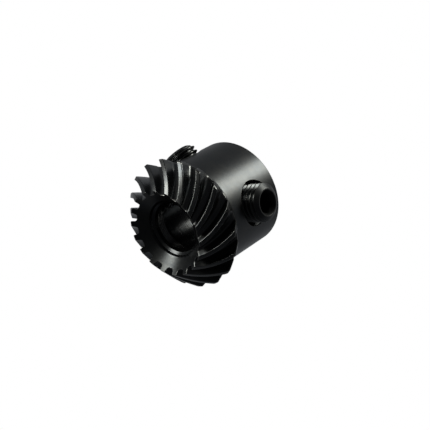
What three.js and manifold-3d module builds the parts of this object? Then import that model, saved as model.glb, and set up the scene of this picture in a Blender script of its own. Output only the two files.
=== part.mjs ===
// Spiral bevel pinion with a plain cylindrical hub, held on its shaft by two
// socket set screws.  Millimetres, +Z up.
//
// Frame: the gear axis is +Z.  The origin is the centre of the hub's flat back
// face, which lies on Z = 0; the small (toe) end of the teeth points up.  +X
// runs through the first set screw.
//
// The pinion is one piece of steel: hub, heel shoulder, 18 left-hand spiral
// teeth, dished toe face and through bore.  Its two set screws are separate
// pieces that travel along their own tapped holes, 120 degrees apart.

import * as THREE from 'three';
import { mergeVertices } from 'three/addons/utils/BufferGeometryUtils.js';
import Module from 'manifold-3d';

const wasm = await Module();
wasm.setup();

// ---------------------------------------------------------------- dimensions
const TEETH = 18;
const LATHE_SEGMENTS = 72;

// blank profile, as radius and height
const HUB_R = 8.65;
const BACK_CHAMFER = 0.3;
const HUB_TOP_Z = 10.96;          // hub ends in a small fillet under the heel shoulder
const FILLET_R = 8.755;
const FILLET_Z = 11.215;
const SHOULDER_R = 9.60;          // foot of the heel face
const SHOULDER_Z = 12.05;
const HEEL_TIP_R = 10.49;         // large end of the face cone
const HEEL_TIP_Z = 13.69;
const TOE_TIP_R = 6.77;           // small end of the face cone
const TOE_TIP_Z = 17.65;
const TOE_LAND = 0.18;            // narrow flat that breaks the toe corner
const BORE_R = 4.0;
const BORE_MOUTH_R = 4.54;        // chamfered mouths of the bore
const DISH_Z = 15.82;             // bottom of the dished toe face

// tooth space, as a root line under the face cone
const ROOT_TOE_R = 6.02;
const ROOT_TOE_Z = 17.03;
const ROOT_HEEL_R = 9.10;         // the spaces run out through the shoulder
const ROOT_HEEL_Z = 11.56;
const LAND_WIDTH = 0.85;          // top land, measured round the axis
const FLANK_LEAD = 0.40;          // how fast each side of a space closes with depth
const FLANK_TRAIL = 0.08;
const TWIST = 25.7;               // turn of a tooth from toe to heel, degrees
const EDGE_PHASE = 81.4;          // leading edge of tooth 0 at mid face, degrees
const SPACE_STEPS = 10;

// set screws
const SCREW_AXIS_Z = 5.41;
const SCREW_ANGLES = [0, 120];
const SCREW_END_R = [10.73, 10.18];   // socket end, measured from the gear axis
const SCREW_R = 2.90;
const SCREW_LENGTH = 6.0;
const SCREW_END_CHAMFER_R = 2.14;
const SCREW_END_CHAMFER_H = 0.63;
const SOCKET_AF = 3.0;
const SOCKET_DEPTH = 2.6;
const SOCKET_MOUTH_R = 1.98;
const SOCKET_MOUTH_H = 0.25;
const POINT_R = 2.0;
const POINT_CHAMFER = 0.8;
const CUP_R = 1.5;
const CUP_DEPTH = 0.6;
const HOLE_R = 3.22;
const HOLE_MOUTH_R = 3.55;
const HOLE_MOUTH_DEPTH = 0.75;

// ------------------------------------------------------------------- helpers
function solidOf(geometry) {
  const g = geometry.index ? geometry.toNonIndexed() : geometry.clone();
  for (const name of Object.keys(g.attributes)) if (name !== 'position') g.deleteAttribute(name);
  const merged = mergeVertices(g, 1e-5);
  const index = merged.index.array, tris = [];
  for (let i = 0; i < index.length; i += 3) {
    const a = index[i], b = index[i + 1], c = index[i + 2];
    if (a !== b && b !== c && c !== a) tris.push(a, b, c);
  }
  const mesh = new wasm.Mesh({
    numProp: 3,
    vertProperties: new Float32Array(merged.attributes.position.array),
    triVerts: new Uint32Array(tris),
  });
  mesh.merge();
  let solid = new wasm.Manifold(mesh);
  if (solid.volume() < 0) {
    const flipped = [];
    for (let i = 0; i < tris.length; i += 3) flipped.push(tris[i], tris[i + 2], tris[i + 1]);
    solid = new wasm.Manifold(new wasm.Mesh({ numProp: 3, vertProperties: mesh.vertProperties, triVerts: new Uint32Array(flipped) }));
  }
  return solid;
}

function geometryOf(solid) {
  const m = solid.getMesh();
  const g = new THREE.BufferGeometry();
  g.setAttribute('position', new THREE.BufferAttribute(new Float32Array(m.vertProperties), 3));
  g.setIndex(new THREE.BufferAttribute(new Uint32Array(m.triVerts), 1));
  g.computeVertexNormals();
  return g;
}

// a body of revolution about Z from [radius, height] points
function revolve(points, segments) {
  const g = new THREE.LatheGeometry(points.map(([r, z]) => new THREE.Vector2(r, z)), segments);
  g.rotateX(Math.PI / 2);
  return g;
}

const lerp = (a, b, t) => a + (b - a) * t;

// --------------------------------------------------------------- pinion body
function blank() {
  const faceR = TOE_TIP_R, faceZ = TOE_TIP_Z;
  const profile = [
    [BORE_R, BORE_MOUTH_R - BORE_R],
    [BORE_MOUTH_R, 0],
    [HUB_R - BACK_CHAMFER, 0],
    [HUB_R, BACK_CHAMFER],
    [HUB_R, HUB_TOP_Z],
    [FILLET_R, FILLET_Z],
    [SHOULDER_R, SHOULDER_Z],
    [HEEL_TIP_R, HEEL_TIP_Z],
    [faceR, faceZ - 0.04],
    [faceR - TOE_LAND, faceZ],
    [BORE_MOUTH_R, DISH_Z],
    [BORE_R, DISH_Z - (BORE_MOUTH_R - BORE_R)],
    [BORE_R, BORE_MOUTH_R - BORE_R],
  ];
  return solidOf(revolve(profile, LATHE_SEGMENTS));
}

// One tooth space.  A straight prism of the space's section is extruded, then
// each of its points is carried to the bevel: the third coordinate runs from
// toe to heel, the second from root to above the face cone.
function rootPoint(s) {
  return [lerp(ROOT_TOE_R, ROOT_HEEL_R, s), lerp(ROOT_TOE_Z, ROOT_HEEL_Z, s)];
}

function tipPoint(s) {
  return [lerp(TOE_TIP_R, HEEL_TIP_R, s), lerp(TOE_TIP_Z, HEEL_TIP_Z, s)];
}

function toothSpace(index) {
  const shape = new THREE.Shape();
  const side = [[0.55, 0], [0.9, 0.09], [1, 0.26], [1, 0.63], [1, 1], [1, 1.35]];
  shape.moveTo(-side[0][0], side[0][1]);
  for (const [u, v] of side) shape.lineTo(u, v);
  for (const [u, v] of [...side].reverse()) shape.lineTo(-u, v);
  const g = new THREE.ExtrudeGeometry(shape, { depth: 1, steps: SPACE_STEPS, bevelEnabled: false });
  const p = g.attributes.position;
  for (let i = 0; i < p.count; i++) {
    const u = p.getX(i), v = p.getY(i), s = lerp(-0.14, 1.16, p.getZ(i));
    const [rr, zr] = rootPoint(s), [rt, zt] = tipPoint(s);
    const r = lerp(rr, rt, v), z = lerp(zr, zt, v);
    const depth = Math.hypot(rt - rr, zt - zr);
    const openTip = (2 * Math.PI / TEETH) * rt - LAND_WIDTH;
    const bulge = 0.08 * depth * (v - v * v);               // slightly rounded flanks
    const lead = openTip / 2 - FLANK_LEAD * depth * (1 - v) - bulge;
    const trail = openTip / 2 - FLANK_TRAIL * depth * (1 - v) - bulge;
    const centre = THREE.MathUtils.degToRad(EDGE_PHASE + TWIST * (s - 0.5) + 360 / TEETH * index)
      + openTip / 2 / rt;
    const a = centre + lerp(-lead, trail, (u + 1) / 2) / r;
    p.setXYZ(i, r * Math.cos(a), r * Math.sin(a), z);
  }
  return solidOf(g);
}

// Turns a body whose own axis is +Z so that it points outwards at a screw's
// angle, at the height of the screw holes.
function toScrewAxis(geometry, angle) {
  const g = geometry;
  g.rotateY(Math.PI / 2);
  g.rotateZ(THREE.MathUtils.degToRad(angle));
  g.translate(0, 0, SCREW_AXIS_Z);
  return g;
}

function screwHole(angle) {
  const mouthBottom = Math.sqrt(HUB_R ** 2 - HOLE_MOUTH_R ** 2) - HOLE_MOUTH_DEPTH + 0.55;
  const profile = [
    [0, 2.6], [HOLE_R, 2.6], [HOLE_R, mouthBottom],
    [HOLE_MOUTH_R, mouthBottom + (HOLE_MOUTH_R - HOLE_R)],
    [HOLE_MOUTH_R, HUB_R + 1], [0, HUB_R + 1],
  ];
  return solidOf(toScrewAxis(revolve(profile, 32), angle));
}

let body = blank();
for (let i = 0; i < TEETH; i++) body = body.subtract(toothSpace(i));
for (const angle of SCREW_ANGLES) body = body.subtract(screwHole(angle));

// ----------------------------------------------------------------- set screw
function setScrew(endR, angle) {
  const top = endR, bottom = endR - SCREW_LENGTH;
  const outer = [
    [0, bottom + CUP_DEPTH],
    [CUP_R, bottom],
    [POINT_R, bottom],
    [SCREW_R, bottom + POINT_CHAMFER],
    [SCREW_R, top - SCREW_END_CHAMFER_H],
    [SCREW_END_CHAMFER_R, top],
    [0, top],
  ];
  let screw = solidOf(revolve(outer, 32));
  const hexR = SOCKET_AF / Math.sqrt(3);
  const hexShape = new THREE.Shape();
  for (let i = 0; i < 6; i++) {
    const a = Math.PI / 6 + i * Math.PI / 3;
    if (i === 0) hexShape.moveTo(hexR * Math.cos(a), hexR * Math.sin(a));
    else hexShape.lineTo(hexR * Math.cos(a), hexR * Math.sin(a));
  }
  hexShape.closePath();
  const hex = new THREE.ExtrudeGeometry(hexShape, { depth: SOCKET_DEPTH + 1, bevelEnabled: false });
  hex.translate(0, 0, top - SOCKET_DEPTH);
  const mouth = revolve([[0, top - SOCKET_MOUTH_H - 0.6], [SOCKET_MOUTH_R - 0.55, top - SOCKET_MOUTH_H - 0.1],
    [SOCKET_MOUTH_R, top], [SOCKET_MOUTH_R, top + 0.5], [0, top + 0.5]], 32);
  screw = screw.subtract(solidOf(hex)).subtract(solidOf(mouth));
  return toScrewAxis(geometryOf(screw), angle);
}

// ------------------------------------------------------------------ assembly
const blackOxide = () => new THREE.MeshStandardMaterial({ color: 0x2b2e31, roughness: 0.42, metalness: 0.85 });
const screwBlack = () => new THREE.MeshStandardMaterial({ color: 0x222427, roughness: 0.38, metalness: 0.85 });

const group = new THREE.Group();

const pinion = new THREE.Mesh(geometryOf(body), blackOxide());
pinion.name = 'bevel_pinion';
group.add(pinion);

SCREW_ANGLES.forEach((angle, i) => {
  const screw = new THREE.Mesh(setScrew(SCREW_END_R[i], angle), screwBlack());
  screw.name = `set_screw_${i + 1}`;
  group.add(screw);
});

export default group;
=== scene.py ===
# Spiral bevel pinion with two socket set screws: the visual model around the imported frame.
# The gear axis is +Z, the hub's back face is Z = 0.  Lengths in this script are millimetres
# until a mesh is made, where MM turns them into metres.
import bpy, math
import numpy as np
from mathutils import Matrix, Vector


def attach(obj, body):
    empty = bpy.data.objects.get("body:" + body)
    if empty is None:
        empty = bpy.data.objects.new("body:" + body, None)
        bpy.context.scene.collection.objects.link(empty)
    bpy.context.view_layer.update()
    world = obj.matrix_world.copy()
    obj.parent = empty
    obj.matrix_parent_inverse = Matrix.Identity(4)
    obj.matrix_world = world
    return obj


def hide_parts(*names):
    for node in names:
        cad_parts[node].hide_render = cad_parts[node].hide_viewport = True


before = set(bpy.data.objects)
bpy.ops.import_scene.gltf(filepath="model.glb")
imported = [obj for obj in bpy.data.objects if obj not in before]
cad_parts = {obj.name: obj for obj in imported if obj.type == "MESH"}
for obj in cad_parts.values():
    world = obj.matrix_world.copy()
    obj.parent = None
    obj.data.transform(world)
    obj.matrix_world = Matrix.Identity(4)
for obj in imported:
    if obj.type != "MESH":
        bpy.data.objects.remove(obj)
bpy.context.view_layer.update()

MM = 0.001
TAU = 2 * math.pi

# ------------------------------------------------------------------ dimensions
TEETH = 18
HUB_R, BORE_R, MOUTH_R = 8.65, 4.0, 4.54
TOE_T = (6.75, 17.62)             # toe end of the face cone
HEEL_T = (10.48, 13.69)           # heel end of the face cone
DISH_IN = (4.54, 15.82)           # foot of the dished toe face
FOOT = (9.60, 12.05)              # foot of the heel face
SHOULDER = (9.10, 11.56)          # on the 45 degree shoulder under it, where the tooth spaces run out
ROOT_TOE_R, ROOT_HEEL = 6.02, (9.10, 11.56)
LAND = 0.85
FLANK_LEAD, FLANK_TRAIL = 0.40, 0.08
HEEL_BREAK = 0.19                 # broken edge round the heel ends of the teeth
TWIST = math.radians(25.7)
PHASE = math.radians(81.4)
SCREW_Z = 5.41
SCREW_ANGLE = (0.0, 120.0)
SCREW_END = (10.73, 10.18)
SCREW_LEN = 6.0
PITCH = 0.75
MAJOR, MINOR = 2.98, 2.56


def lerp(a, b, t):
    return a + (b - a) * t


# ---------------------------------------------------------------- mesh helpers
def make_object(name, verts, faces, mats, mat_index=None, smooth_angle=40):
    me = bpy.data.meshes.new(name)
    me.from_pydata((np.asarray(verts) * MM).tolist(), [], faces)
    me.validate()
    ob = bpy.data.objects.new(name, me)
    bpy.context.scene.collection.objects.link(ob)
    for m in mats:
        me.materials.append(m)
    if mat_index is not None:
        me.polygons.foreach_set("material_index", np.asarray(mat_index, dtype=np.int32))
    shade(me, smooth_angle)
    return ob


def shade(me, angle=40):
    me.polygons.foreach_set("use_smooth", [True] * len(me.polygons))
    me.set_sharp_from_angle(angle=math.radians(angle))
    me.update()


def grid_faces(rows, cols, closed_rows):
    faces = []
    n = rows if closed_rows else rows - 1
    for i in range(n):
        a, b = i * cols, ((i + 1) % rows) * cols
        for j in range(cols):
            k = (j + 1) % cols
            faces.append((a + j, a + k, b + k, b + j))
    return faces


def fillet_path(points, radii, n_arc, n_line):
    """Polyline through points with each inner corner rounded; returns sampled (x, y)."""
    pts = [np.array(p, float) for p in points]
    out = []
    prev = pts[0]
    for i in range(1, len(pts) - 1):
        p, a, b = pts[i], pts[i - 1], pts[i + 1]
        u = (a - p) / np.linalg.norm(a - p)
        w = (b - p) / np.linalg.norm(b - p)
        ang = math.acos(max(-1, min(1, float(u @ w))))
        r = radii[i - 1]
        tl = r / math.tan(ang / 2)
        t0, t1 = p + u * tl, p + w * tl
        c = p + (u + w) / np.linalg.norm(u + w) * (r / math.sin(ang / 2))
        for t in np.linspace(0, 1, n_line[i - 1], endpoint=False):
            out.append(lerp(prev, t0, t))
        a0 = math.atan2(*(t0 - c)[::-1])
        a1 = math.atan2(*(t1 - c)[::-1])
        d = (a1 - a0 + math.pi) % TAU - math.pi
        for t in np.linspace(0, 1, n_arc[i - 1], endpoint=False):
            out.append(c + r * np.array([math.cos(a0 + d * t), math.sin(a0 + d * t)]))
        prev = t1
    for t in np.linspace(0, 1, n_line[-1], endpoint=False):
        out.append(lerp(prev, pts[-1], t))
    out.append(pts[-1])
    return np.array(out)


# --------------------------------------------------------------- pinion's body
def line_point(a, b, r):
    """Point of the line a-b at radius r."""
    t = (r - a[0]) / (b[0] - a[0])
    return np.array([r, a[1] + (b[1] - a[1]) * t])


R_TOE = line_point(TOE_T, DISH_IN, ROOT_TOE_R)
R_HEEL = np.array(ROOT_HEEL)
HUB_CORNER = np.array([HUB_R, SHOULDER[1] - (SHOULDER[0] - HUB_R)])
# the blank's outline behind the teeth: heel face, then the 45 degree shoulder down to the hub's fillet
OUTLINE = np.array([HEEL_T, FOOT, SHOULDER, (HUB_R + 0.15, HUB_CORNER[1] + 0.15)])
OUT_L = np.concatenate([[0], np.cumsum(np.linalg.norm(np.diff(OUTLINE, axis=0), axis=1))])


def tip(s):
    return np.array([lerp(TOE_T[0], HEEL_T[0], s), lerp(TOE_T[1], HEEL_T[1], s)])


def root(s):
    return lerp(R_TOE, R_HEEL, s)


EDGE_L, EDGE_R = 0.10, 0.16       # rounding of the land's leading and trailing edges


def space_profile(s, inset=0.0):
    """Outline of one sector at s: each point's arc from the space's centre, share of depth, place on the cone."""
    T, R = tip(s), root(s)
    D = float(np.linalg.norm(T - R))
    W = TAU / TEETH * T[0]
    half_t = (W - LAND) / 2
    lo, hi = -(half_t - FLANK_LEAD * D), half_t - FLANK_TRAIL * D
    rf = 0.38 * (hi - lo)
    pts = [(-W / 2, D), (-half_t, D), (lo, 0), (hi, 0), (half_t, D), (W / 2, D)]
    path = fillet_path(pts, [EDGE_L, rf, rf, EDGE_R], [5, 8, 8, 6], [4, 9, 3, 9, 4])
    x, y = path[:, 0].copy(), path[:, 1].copy()
    v = np.clip(y / D, 0, 1)
    x -= np.sign(x) * 0.08 * D * (v - v * v)
    if inset:
        t = np.gradient(np.stack([x, y], 1), axis=0)
        t /= np.linalg.norm(t, axis=1)[:, None]
        nx, ny = t[:, 1], -t[:, 0]                  # into the metal
        x, y = x + nx * inset, y + ny * inset
        x[0], x[-1] = -W / 2, W / 2
    x, y = x[:-1], y[:-1]
    v = y / D
    r = R[0] + (T[0] - R[0]) * v
    z = R[1] + (T[1] - R[1]) * v
    ca = PHASE + TWIST * (s - 0.5) + half_t / T[0]
    return ca + x / np.where(v > 0.98, T[0], r), r, z


def metal_side(r, z):
    """Least distance inside the blank's back outline, negative outside."""
    best = np.full(np.shape(r), 9.0)
    for A, B in zip(OUTLINE[:-1], OUTLINE[1:]):
        u = (B - A) / np.linalg.norm(B - A)
        n = np.array([u[1], -u[0]])
        if n @ (np.array([8.2, 15.0]) - A) < 0:
            n = -n
        best = np.minimum(best, (r - A[0]) * n[0] + (z - A[1]) * n[1])
    return best


S_TABLE = np.linspace(0.6, 1.2, 121)


def heel_table(inset):
    """Every profile point followed along the tooth, and the s at which it leaves the blank."""
    rows = [space_profile(s, inset) for s in S_TABLE]
    ph, r, z = (np.array([q[i] for q in rows]) for i in range(3))
    g = metal_side(r, z)
    out = (g <= 1e-9)
    first = np.argmax(out, axis=0)
    n = np.arange(ph.shape[1])
    g1, g0 = g[first, n], g[first - 1, n]
    t = g0 / (g0 - g1)
    return ph, r, z, S_TABLE[first - 1] + t * (S_TABLE[1] - S_TABLE[0])


def sector(ph, r, z):
    return (np.concatenate([ph + k * TAU / TEETH for k in range(TEETH)]), np.tile(r, TEETH), np.tile(z, TEETH))


def from_table(tab, s):
    ph, r, z, _ = tab
    i = np.clip((s - S_TABLE[0]) / (S_TABLE[1] - S_TABLE[0]), 0, len(S_TABLE) - 1.001)
    k = i.astype(int)
    f = i - k
    n = np.arange(ph.shape[1])
    return tuple(q[k, n] * (1 - f) + q[k + 1, n] * f for q in (ph, r, z))


def outline_at(u):
    u = np.clip(u, 0, OUT_L[-1])
    return np.interp(u, OUT_L, OUTLINE[:, 0]), np.interp(u, OUT_L, OUTLINE[:, 1])


def outline_place(r, z):
    """Distance along the outline of the point on it nearest to each (r, z)."""
    n = len(r) // TEETH
    us = np.linspace(0, OUT_L[-1], 4001)
    rr, zz = outline_at(us)
    return np.tile([us[np.argmin((rr - a) ** 2 + (zz - b) ** 2)] for a, b in zip(r[:n], z[:n])], TEETH)


def build_body(mats):
    L = float(np.linalg.norm(np.array(TOE_T) - np.array(HEEL_T)))
    e, eh = 0.06, HEEL_BREAK
    rows, zone = [], []

    def add(phi, r, z, m):
        n = len(phi)
        rows.append((phi, np.broadcast_to(r, n).astype(float), np.broadcast_to(z, n).astype(float)))
        zone.append(m)

    plain, part_in, full_in = heel_table(0.0), heel_table(0.29 * eh), heel_table(eh)
    s_end = plain[3]
    # toothed band, heel to toe
    for back in (1.0, 1.6):
        add(*sector(*from_table(plain, s_end - back * eh / L)), 0)
    for t in np.linspace(0.955, 0.62, 20):
        f = (t - 0.6) / 0.4
        add(*sector(*from_table(plain, 0.6 + f * (s_end - 0.6))), 0)
    for s in np.concatenate([np.linspace(0.6, 0.10, 26), [0.085, 0.06, 0.035, 2.2 * e / L, e / L]]):
        add(*sector(*space_profile(s)), 0)
    add(*sector(*space_profile(0.29 * e / L, 0.29 * e)), 0)
    phi_t, r_t, z_t = sector(*space_profile(0.0, e))
    add(phi_t, r_t, z_t, 0)
    # dished toe face, in the darker dish material: painted shade that dims its reflections
    T0, D0 = np.array(TOE_T), np.array(DISH_IN)
    D1 = line_point(TOE_T, DISH_IN, 4.66)
    i = np.arange(len(phi_t)) * TAU / len(phi_t)
    even_t = i + np.mean(phi_t - i)
    for f in (0.03, 0.10, 0.22, 0.38, 0.55, 0.72, 0.87, 0.965):
        add(lerp(phi_t, even_t, min(1, 2.5 * f)), lerp(r_t, D1[0], f), lerp(z_t, D1[1], f), 1)
    # mouth of the bore, bore, back mouth, in the darker bore material: painted shade inside the bore
    mouth = list(fillet_path([D1, DISH_IN, (4.37, 15.42), (BORE_R, 15.10), (BORE_R, 14.98)], [0.05, 0.05, 0.04],
                             [5, 4, 4], [1, 2, 3, 1]))
    # a few coarse turning grooves just inside the mouth
    for k in range(6):
        z0, dp = 14.94 - 0.33 * k, 0.050 - 0.005 * k
        mouth += [(BORE_R, z0), (BORE_R + dp, z0 - 0.05), (BORE_R + dp * 0.9, z0 - 0.08), (BORE_R, z0 - 0.16)]
    for r, z in mouth:
        add(even_t, r, z, 2)
    phi_h, r_h, z_h = sector(*from_table(full_in, full_in[3]))
    even_h = i + np.mean(phi_h - i)
    for z in np.linspace(12.9, 1.2, 30):
        f = (12.9 - z) / 11.7
        f = f * f * (3 - 2 * f)
        add(lerp(even_t, even_h, f), BORE_R, z, 2)
    back = fillet_path([(BORE_R, 0.95), (BORE_R, 0.5), (MOUTH_R, 0.0), (5.0, 0.0)], [0.1, 0.05], [4, 4], [1, 3, 1])
    for r, z in back:
        add(even_h, r, z, 2 if r < 4.1 else 3)
    for r in (5.6, 6.4, 7.2, 7.9):
        add(even_h, r, 0.0, 3)
    rim = fillet_path([(8.15, 0.0), (HUB_R, 0.0), (HUB_R, 0.5)], [0.30], [9], [1, 1])
    for r, z in rim:
        add(even_h, r, z, 4 if r > 8.5 else 3)
    for z in np.linspace(0.7, 10.3, 42):
        f = min(1.0, max(0.0, (z - 9.1) / 1.2))
        add(lerp(even_h, phi_h, f * f * (3 - 2 * f)), HUB_R, z, 4)
    sh = fillet_path([(HUB_R, 10.45), HUB_CORNER, SHOULDER], [0.36], [8], [1, 1])
    for r, z in sh[:-1]:
        add(phi_h, r, z, 4)
    # shoulder and heel face, from the hub out to the tooth spaces
    u_h = outline_place(r_h, z_h)
    for u in (OUT_L[3], lerp(OUT_L[2], OUT_L[3], 0.5), OUT_L[2] + 0.03, OUT_L[2] - 0.03,
              lerp(OUT_L[1], OUT_L[2], 0.5), OUT_L[1] + 0.03, OUT_L[1] - 0.03,
              OUT_L[1] * 0.8, OUT_L[1] * 0.55, OUT_L[1] * 0.3, eh * 1.15):
        rr, zz = outline_at(np.maximum(np.full(len(u_h), u), u_h))
        add(phi_h, rr, zz, 5)
    rr, zz = outline_at(u_h)
    add(phi_h, rr, zz, 0)
    add(*sector(*from_table(part_in, part_in[3] - 0.29 * eh / L)), 0)

    cols = len(rows[0][0])
    P = np.array([np.stack([r * np.cos(p), r * np.sin(p), z], 1) for p, r, z in rows])
    faces = grid_faces(len(rows), cols, True)
    mi = np.repeat(np.array(zone), cols)
    V, faces, mi = weld(P, faces, mi)
    return make_object("pinion_body", V, outward(V, faces), mats, mi)


def weld(P, faces, mi, tol=2e-4):
    """Joins neighbours of one column that lie closer than tol and drops the faces that vanish."""
    nr, nc = P.shape[:2]
    ident = np.arange(nr * nc).reshape(nr, nc)
    for k in range(1, nr):
        same = np.linalg.norm(P[k] - P[k - 1], axis=1) < tol
        ident[k, same] = ident[k - 1, same]
    ident = ident.reshape(-1)
    out, keep = [], []
    for f, m in zip(faces, mi):
        g = []
        for q in f:
            j = int(ident[q])
            if j not in g:
                g.append(j)
        if len(g) > 2:
            out.append(g); keep.append(m)
    used = np.unique(ident)
    place = np.zeros(nr * nc, dtype=np.int64)
    place[used] = np.arange(len(used))
    return P.reshape(-1, 3)[used], [tuple(int(place[q]) for q in g) for g in out], np.array(keep)


def thread_radius(theta, h, major, minor, pitch, hand=1):
    u = (h / pitch - hand * theta / TAU) % 1.0
    d = np.abs(u - 0.5) * pitch
    depth = major - minor
    drop = (d - pitch / 14) * 1.732
    k = 0.035
    drop = np.where(drop < -k, 0, np.where(drop > k, drop, (drop + k) ** 2 / (4 * k)))
    q = depth - drop
    q = np.where(q > k, q, np.where(q < -k, 0, (q + k) ** 2 / (4 * k)))
    return minor + q


def hole_cutter(angle):
    n = 120
    th = np.linspace(0, TAU, n, endpoint=False)
    hs = np.concatenate([[2.4], np.arange(3.2, 7.2, PITCH / 12), [7.25, 7.3, 7.55, 7.8, 8.3, 9.6]])
    rows = []
    for h in hs:
        r = thread_radius(th, h, 3.42, 3.10, PITCH)
        if h > 7.2:
            r = np.maximum(r, 3.10 + np.clip((h - 7.25) * 1.6, 0, 0.47))
        rows.append(np.stack([np.full(n, h), r * np.cos(th), r * np.sin(th)], 1))
    V = np.concatenate(rows)
    faces = grid_faces(len(hs), n, False)
    V = np.vstack([V, [[hs[0], 0, 0]], [[hs[-1], 0, 0]]])
    lo, hi = len(V) - 2, len(V) - 1
    last = (len(hs) - 1) * n
    for j in range(n):
        k = (j + 1) % n
        faces.append((lo, k, j))
        faces.append((hi, last + j, last + k))
    V = turn(V, angle)
    return V, faces


def turn(V, angle):
    """Carries a body made along +X to a set screw's place."""
    a = math.radians(angle)
    c, s = math.cos(a), math.sin(a)
    V = np.asarray(V, float)
    return np.stack([c * V[:, 0] - s * V[:, 1], s * V[:, 0] + c * V[:, 1], V[:, 2] + SCREW_Z], 1)


def outward(V, faces):
    """Turns all faces round if the closed mesh is inside out."""
    V = np.asarray(V)
    T = np.array([(f[0], f[i], f[i + 1]) for f in faces for i in range(1, len(f) - 1)])
    vol = np.einsum("ij,ij->", V[T[:, 0]], np.cross(V[T[:, 1]], V[T[:, 2]]))
    return faces if vol > 0 else [f[::-1] for f in faces]


def cut(ob, cutters):
    for V, faces in cutters:
        # the hole walls take material slot 6, the near-black hole material: painted shade in the holes
        c = make_object("cutter", V, outward(V, faces), list(ob.data.materials), [6] * len(faces))
        m = ob.modifiers.new("cut", "BOOLEAN")
        m.operation = "DIFFERENCE"
        m.solver = "MANIFOLD"
        m.object = c
        dg = bpy.context.evaluated_depsgraph_get()
        me = bpy.data.meshes.new_from_object(ob.evaluated_get(dg))
        ob.modifiers.clear()
        old = ob.data
        ob.data = me
        bpy.data.meshes.remove(old)
        cm = c.data
        bpy.data.objects.remove(c)
        bpy.data.meshes.remove(cm)
    return ob


# ------------------------------------------------------------------ set screws
def build_screw(name, end, angle, mats, phase):
    n = 144
    th = np.linspace(0, TAU, n, endpoint=False)
    lo = end - SCREW_LEN
    rows, zone = [], []

    def add(r, h, m):
        r = np.broadcast_to(r, n).astype(float)
        h = np.broadcast_to(h, n).astype(float)
        rows.append(np.stack([h, r * np.cos(th), r * np.sin(th)], 1))
        zone.append(m)

    AF, RIM_IN, RIM_OUT = 3.0, 1.97, 2.12
    # cup point
    add(0.05, lo + 0.55, 1)
    add(0.8, lo + 0.36, 1)
    add(1.42, lo + 0.05, 1)
    add(1.50, lo, 1)
    add(1.62, lo, 1)
    add(1.95, lo, 1)
    # threaded length, with both ends chamfered
    for h in np.arange(lo + 0.03, end - 0.0301, PITCH / 18):
        r = thread_radius(th + phase, h, MAJOR, MINOR, PITCH)
        r = np.minimum(r, 2.0 + (h - lo) * 1.25)
        r = np.minimum(r, RIM_OUT + 0.03 + (end - h) * 1.36)
        add(r, h, 0 if h < end - 0.60 else 1)
    # flat rim of the end in its own paler material: a painted highlight ring
    add(RIM_OUT + 0.025, end - 0.008, 3)
    add(RIM_OUT, end, 3)
    add((RIM_OUT + RIM_IN) / 2, end, 3)
    add(RIM_IN + 0.02, end, 3)
    add(RIM_IN, end - 0.02, 3)
    # countersunk mouth down to the hexagon, in the darkest screw material: painted shade in the socket
    hexr = (AF / 2) / np.cos(th % (math.pi / 3) - math.pi / 6)
    hexr = np.minimum(hexr, 1.70)
    for f in (0.06, 0.33, 0.66, 0.97):
        add(lerp(RIM_IN, hexr, f), end - 0.02 - (RIM_IN - lerp(RIM_IN, hexr, f)) * 1.5, 1 if f < 0.1 else 2)
    add(hexr, end - 0.03 - (RIM_IN - hexr) * 1.5, 2)
    for h in (0.95, 1.2, 1.7, 2.2, 2.55):
        add(hexr, end - h, 2)
    add(hexr * 0.97, end - 2.6, 2)
    add(1.25, end - 2.62, 2)
    add(0.6, end - 2.9, 2)
    add(0.05, end - 3.1, 2)
    V = np.concatenate(rows)
    faces = grid_faces(len(rows), n, False)
    mi = list(np.repeat(np.array(zone[:-1]), n))
    V = np.vstack([V, [[lo + 0.56, 0, 0]], [[end - 3.12, 0, 0]]])
    a, b = len(V) - 2, len(V) - 1
    last = (len(rows) - 1) * n
    for j in range(n):
        k = (j + 1) % n
        faces.append((a, k, j)); mi.append(1)
        faces.append((b, last + j, last + k)); mi.append(2)
    V = turn(V, angle)
    return make_object(name, V, outward(V, faces), mats, mi, 42)


# -------------------------------------------------------------------- materials
def node_material(name):
    m = bpy.data.materials.new(name)
    m.use_nodes = True
    nt = m.node_tree
    nt.nodes.clear()
    return m, nt


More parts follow.
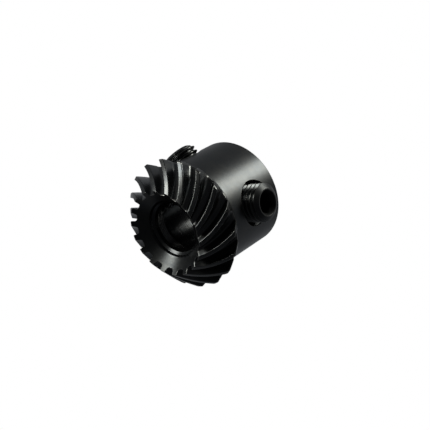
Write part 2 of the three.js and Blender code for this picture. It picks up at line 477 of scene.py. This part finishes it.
def oxide(name, kind, base=(0.135, 0.140, 0.146), rough=0.36, rough_var=0.06, lines=3.0, depth=0.0010,
          grain=0.0006, streak=0.0, edge_wear_and_highlight=0.35, feed=0.0, pitch=0.36):
    """Black oxide over cut steel.  kind: 'z' turned lines along Z, 'r' faced rings round the axis, None cut or rolled.
    lines: tool marks per millimetre; depth and grain: their heights in millimetres; streak: how much the tool
    marks change the gloss; feed and pitch: height and spacing of the regular feed marks; worn: how pale the
    convex edges turn, partly as rubbed metal and partly as a painted edge highlight."""
    m, nt = node_material(name)
    N, Lk = nt.nodes, nt.links
    out = N.new("ShaderNodeOutputMaterial")
    bsdf = N.new("ShaderNodeBsdfPrincipled")
    Lk.new(bsdf.outputs[0], out.inputs[0])
    bsdf.inputs["Metallic"].default_value = 1.0
    tc = N.new("ShaderNodeTexCoord")
    scale = N.new("ShaderNodeVectorMath"); scale.operation = "SCALE"
    scale.inputs["Scale"].default_value = 1000.0
    Lk.new(tc.outputs["Object"], scale.inputs[0])
    P = scale.outputs[0]                                   # millimetres

    def noise(sc, detail=3, rough_=0.55, vec=None):
        t = N.new("ShaderNodeTexNoise")
        t.inputs["Scale"].default_value = sc
        t.inputs["Detail"].default_value = detail
        t.inputs["Roughness"].default_value = rough_
        Lk.new(vec or P, t.inputs["Vector"])
        return t.outputs["Fac"]

    def mathn(op, a, b=None):
        t = N.new("ShaderNodeMath"); t.operation = op
        for i, v in enumerate((a, b)):
            if v is None:
                continue
            if isinstance(v, (int, float)):
                t.inputs[i].default_value = v
            else:
                Lk.new(v, t.inputs[i])
        return t.outputs[0]

    # colour: blotchy oxide drifting between blue-black and brown-black, paler on convex edges: partly rubbed metal,
    # partly a painted edge highlight
    big = noise(0.40, 4)
    fine = noise(3.2, 4, 0.65)
    ramp = N.new("ShaderNodeValToRGB")
    ramp.color_ramp.elements[0].position = 0.32
    ramp.color_ramp.elements[0].color = (base[0] * 0.84, base[1] * 0.88, base[2] * 0.93, 1)
    ramp.color_ramp.elements[1].position = 0.70
    ramp.color_ramp.elements[1].color = (base[0] * 1.14, base[1] * 1.11, base[2] * 1.06, 1)
    mixf = mathn("ADD", mathn("MULTIPLY", big, 0.6), mathn("MULTIPLY", fine, 0.4))
    Lk.new(mixf, ramp.inputs[0])
    # the stored edge mask: pale convex edges, partly rubbed metal and partly a painted edge highlight
    wear_and_edge_highlight = N.new("ShaderNodeAttribute"); wear_and_edge_highlight.attribute_name = "wear_and_edge_highlight"
    wn = mathn("MULTIPLY", wear_and_edge_highlight.outputs["Fac"], mathn("ADD", mathn("MULTIPLY", noise(0.9, 2), 1.3), 0.0))
    wn = mathn("MAXIMUM", mathn("MINIMUM", wn, 1.0), 0.0)
    mix = N.new("ShaderNodeMix"); mix.data_type = "RGBA"
    Lk.new(wn, mix.inputs[0])
    Lk.new(ramp.outputs[0], mix.inputs[6])
    mix.inputs[7].default_value = (edge_wear_and_highlight, edge_wear_and_highlight * 0.99, edge_wear_and_highlight * 0.96, 1)
    Lk.new(mix.outputs[2], bsdf.inputs["Base Color"])

    # tool marks
    marks = None
    if kind:
        sep = N.new("ShaderNodeSeparateXYZ"); Lk.new(P, sep.inputs[0])
        if kind == "z":
            coord = sep.outputs[2]
        else:
            xx = mathn("MULTIPLY", sep.outputs[0], sep.outputs[0])
            yy = mathn("MULTIPLY", sep.outputs[1], sep.outputs[1])
            coord = mathn("SQRT", mathn("ADD", xx, yy))
        comb = N.new("ShaderNodeCombineXYZ")
        Lk.new(coord, comb.inputs[2])
        ln = noise(lines, 1, 0.5, comb.outputs[0])
        wave = mathn("SINE", mathn("MULTIPLY", coord, TAU / pitch))
        wave = mathn("MULTIPLY", wave, mathn("ADD", mathn("MULTIPLY", noise(0.9, 2), 1.6), -0.1))
        marks = mathn("ADD", ln, mathn("MULTIPLY", wave, feed / depth))

    # roughness
    rr = mathn("ADD", mathn("MULTIPLY", mathn("SUBTRACT", noise(1.1, 4), 0.5), rough_var * 2), rough)
    rr = mathn("ADD", rr, mathn("MULTIPLY", mathn("SUBTRACT", fine, 0.5), 0.08))
    if marks is not None and streak:
        rr = mathn("ADD", rr, mathn("MULTIPLY", mathn("SUBTRACT", ln, 0.5), streak))
    Lk.new(rr, bsdf.inputs["Roughness"])

    # relief: tool marks and grain
    height = mathn("MULTIPLY", noise(5.0, 2), grain / 0.001)
    if marks is not None:
        height = mathn("ADD", height, mathn("MULTIPLY", marks, depth / 0.001))
    b = N.new("ShaderNodeBump")
    b.inputs["Strength"].default_value = 1.0
    b.inputs["Distance"].default_value = 0.001 * MM
    Lk.new(height, b.inputs["Height"])
    Lk.new(b.outputs[0], bsdf.inputs["Normal"])
    return m


def mark_wear_and_edge_highlight(ob, gain=1.0, start=0.10, full=0.45):
    """Stores how exposed each vertex is: convex edges turn pale, partly as rubbed metal and partly as a painted edge
    highlight; flats and hollows stay black.
    """
    me = ob.data
    n = len(me.vertices)
    co = np.zeros(n * 3); me.vertices.foreach_get("co", co); co = co.reshape(-1, 3)
    nor = np.zeros(n * 3); me.vertices.foreach_get("normal", nor); nor = nor.reshape(-1, 3)
    ed = np.zeros(len(me.edges) * 2, dtype=np.int64); me.edges.foreach_get("vertices", ed); ed = ed.reshape(-1, 2)
    d = co[ed[:, 1]] - co[ed[:, 0]]
    ln = np.linalg.norm(d, axis=1) + 1e-9
    far = ln > 4e-6
    peak = np.zeros(n)
    for k, sign in ((0, -1.0), (1, 1.0)):
        v = ed[far, k]
        np.maximum.at(peak, v, sign * np.einsum("ij,ij->i", nor[v], d[far]) / ln[far])
    w = np.clip((peak - start) / (full - start), 0, 1) * gain
    at = me.attributes.new("wear_and_edge_highlight", "FLOAT", "POINT")
    at.data.foreach_set("value", w.astype(np.float32))


teeth_mat = oxide("oxide_teeth", None, rough=0.29, grain=0.0006, edge_wear_and_highlight=0.46)
# darker copy of the oxide for the dished toe face: painted shade
dish_shade_mat = oxide("oxide_dish_painted_shade", "r", base=(0.070, 0.073, 0.076), rough=0.31, lines=2.4, depth=0.0014,
                 streak=0.10, edge_wear_and_highlight=0.26, feed=0.0004, pitch=0.42)
# darker copy of the oxide for the bore: painted shade
bore_shade_mat = oxide("oxide_bore_painted_shade", "z", base=(0.066, 0.069, 0.074), rough=0.25, lines=2.8, depth=0.0012, grain=0.0003,
                 streak=0.10, feed=0.0045, pitch=0.36)
back_mat = oxide("oxide_back", "r", rough=0.34, lines=2.2, depth=0.0016, streak=0.10)
hub_mat = oxide("oxide_hub", "z", rough=0.37, lines=3.2, depth=0.0005, streak=0.06, rough_var=0.04, edge_wear_and_highlight=0.30)
heel_mat = oxide("oxide_heel", "r", rough=0.34, lines=2.6, depth=0.0010, edge_wear_and_highlight=0.26)
thread_mat = oxide("oxide_thread", None, rough=0.27, grain=0.0002, base=(0.092, 0.096, 0.100), edge_wear_and_highlight=0.24)
end_mat = oxide("oxide_screw_end", None, rough=0.40, grain=0.0006, base=(0.078, 0.081, 0.085), edge_wear_and_highlight=0.16)
# paler copy of the screw oxide for the end's rim: a painted highlight
rim_highlight_mat = oxide("oxide_screw_rim_painted_highlight", None, rough=0.34, grain=0.0004, base=(0.24, 0.24, 0.235), edge_wear_and_highlight=0.30)
# near-black copy of the oxide for the set screw holes: painted shade
hole_shade_mat = oxide("oxide_hole_painted_shade", None, rough=0.46, grain=0.0008, base=(0.036, 0.038, 0.041), edge_wear_and_highlight=0.05)
# near-black copy of the oxide inside the socket: painted shade
socket_shade_mat = oxide("oxide_socket_painted_shade", None, rough=0.42, grain=0.0010, base=(0.040, 0.041, 0.043))

# ---------------------------------------------------------------------- pieces
body = build_body([teeth_mat, dish_shade_mat, bore_shade_mat, back_mat, hub_mat, heel_mat, hole_shade_mat])
body = cut(body, [hole_cutter(a) for a in SCREW_ANGLE])
shade(body.data, 40)
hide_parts("bevel_pinion")
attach(body, "pinion")
# pale convex edges on the body: partly rubbed metal, partly a painted edge highlight
mark_wear_and_edge_highlight(body)

screws = []
for i, (end, ang) in enumerate(zip(SCREW_END, SCREW_ANGLE)):
    s = build_screw(f"screw_{i + 1}", end, ang, [thread_mat, end_mat, socket_shade_mat, rim_highlight_mat], 0.7 + 2.1 * i)
    # the same pale edges on the screw: partly rubbed metal, partly a painted edge highlight
    mark_wear_and_edge_highlight(s)
    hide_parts(f"set_screw_{i + 1}")
    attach(s, f"screw_{i + 1}")
    screws.append(s)

# ----------------------------------------------------------------- floor, light
def emission(name, color, strength):
    m, nt = node_material(name)
    out = nt.nodes.new("ShaderNodeOutputMaterial")
    e = nt.nodes.new("ShaderNodeEmission")
    e.inputs[0].default_value = (*color, 1)
    e.inputs[1].default_value = strength
    nt.links.new(e.outputs[0], out.inputs[0])
    return m


fl = bpy.data.meshes.new("floor")
q = 3.0
fl.from_pydata([(-q, -q, -2e-5), (q, -q, -2e-5), (q, q, -2e-5), (-q, q, -2e-5)], [], [(0, 1, 2, 3)])
floor = bpy.data.objects.new("floor", fl)
bpy.context.scene.collection.objects.link(floor)
fl.materials.append(emission("floor_white", (1, 1, 1), 1.0))
for a in ("visible_diffuse", "visible_glossy", "visible_transmission", "visible_volume_scatter", "visible_shadow"):
    setattr(floor, a, False)

CAM_POS = Vector((0.08837922, 0.03335353, 0.09840524))
CX = Vector((0.7450379, -0.2594195, -0.6145080))
CY = Vector((0.0189153, 0.9291173, -0.3693011))
CZ = Vector((0.6667539, 0.2635197, 0.6971346))
cam_data = bpy.data.cameras.new("camera")
cam_data.lens = 70.108
cam_data.sensor_width = 36.0
cam_data.clip_start = 0.001
cam_data.clip_end = 20
cam = bpy.data.objects.new("camera", cam_data)
bpy.context.scene.collection.objects.link(cam)
cam.matrix_world = Matrix((
    (CX.x, CY.x, CZ.x, CAM_POS.x), (CX.y, CY.y, CZ.y, CAM_POS.y), (CX.z, CY.z, CZ.z, CAM_POS.z), (0, 0, 0, 1)))
bpy.context.scene.camera = cam

TARGET = Vector((0, 0, 0.009))


def soft_light(name, direction, distance, size, power, size_y=None, color=(1, 1, 1)):
    """A soft box: direction is given as right, up, towards the camera, in the picture's own frame."""
    d = (CX * direction[0] + CY * direction[1] + CZ * direction[2]).normalized()
    ld = bpy.data.lights.new(name, "AREA")
    ld.shape = "RECTANGLE"
    ld.size = size
    ld.size_y = size_y or size
    ld.energy = power
    ld.color = color
    ob = bpy.data.objects.new(name, ld)
    bpy.context.scene.collection.objects.link(ob)
    ob.location = TARGET + d * distance
    ob.rotation_euler = (-d).to_track_quat("-Z", "Y").to_euler()
    ob.visible_camera = False
    return ob


soft_light("key_right", (0.72, 0.69, -0.07), 0.30, 0.10, 0.26, color=(1.0, 1.0, 0.90))
soft_light("key_left", (-0.772, 0.50, 0.39), 0.30, 0.13, 0.42, color=(1.0, 1.0, 0.91))

# A white room seen from the dark side: the object stands in front of a bright backdrop, so the
# reflections are dark from the side the picture is taken from and bright from behind.
world = bpy.data.worlds.new("world")
bpy.context.scene.world = world
world.use_nodes = True
nt = world.node_tree
nt.nodes.clear()
wo = nt.nodes.new("ShaderNodeOutputWorld")
bg1 = nt.nodes.new("ShaderNodeBackground")
bg2 = nt.nodes.new("ShaderNodeBackground")
mx = nt.nodes.new("ShaderNodeMixShader")
lp = nt.nodes.new("ShaderNodeLightPath")
wtc = nt.nodes.new("ShaderNodeTexCoord")
dot = nt.nodes.new("ShaderNodeVectorMath"); dot.operation = "DOT_PRODUCT"
dot.inputs[1].default_value = (0.6667539, 0.2635197, 0.6971346)
nt.links.new(wtc.outputs["Generated"], dot.inputs[0])
half = nt.nodes.new("ShaderNodeMath"); half.operation = "MULTIPLY_ADD"
half.inputs[1].default_value = 0.5
half.inputs[2].default_value = 0.5
nt.links.new(dot.outputs["Value"], half.inputs[0])
wr = nt.nodes.new("ShaderNodeValToRGB")
ROOM = [(0.0, 0.42), (0.02, 0.34), (0.07, 0.19), (0.17, 0.125), (0.40, 0.095), (0.58, 0.030), (1.0, 0.022)]
el = wr.color_ramp.elements
el[0].position, el[1].position = ROOM[0][0], ROOM[-1][0]
for pos, _ in ROOM[1:-1]:
    el.new(pos)
for e, (pos, v) in zip(el, ROOM):
    e.color = (v * 0.97, v, v * 1.04, 1)
nt.links.new(half.outputs[0], wr.inputs[0])
nt.links.new(wr.outputs[0], bg1.inputs[0])
bg1.inputs[1].default_value = 1.0
bg2.inputs[0].default_value = (1, 1, 1, 1)
bg2.inputs[1].default_value = 1.0
nt.links.new(lp.outputs["Is Camera Ray"], mx.inputs[0])
nt.links.new(bg1.outputs[0], mx.inputs[1])
nt.links.new(bg2.outputs[0], mx.inputs[2])
nt.links.new(mx.outputs[0], wo.inputs[0])

bpy.context.scene.view_settings.view_transform = "Standard"
bpy.context.scene.view_settings.look = "None"
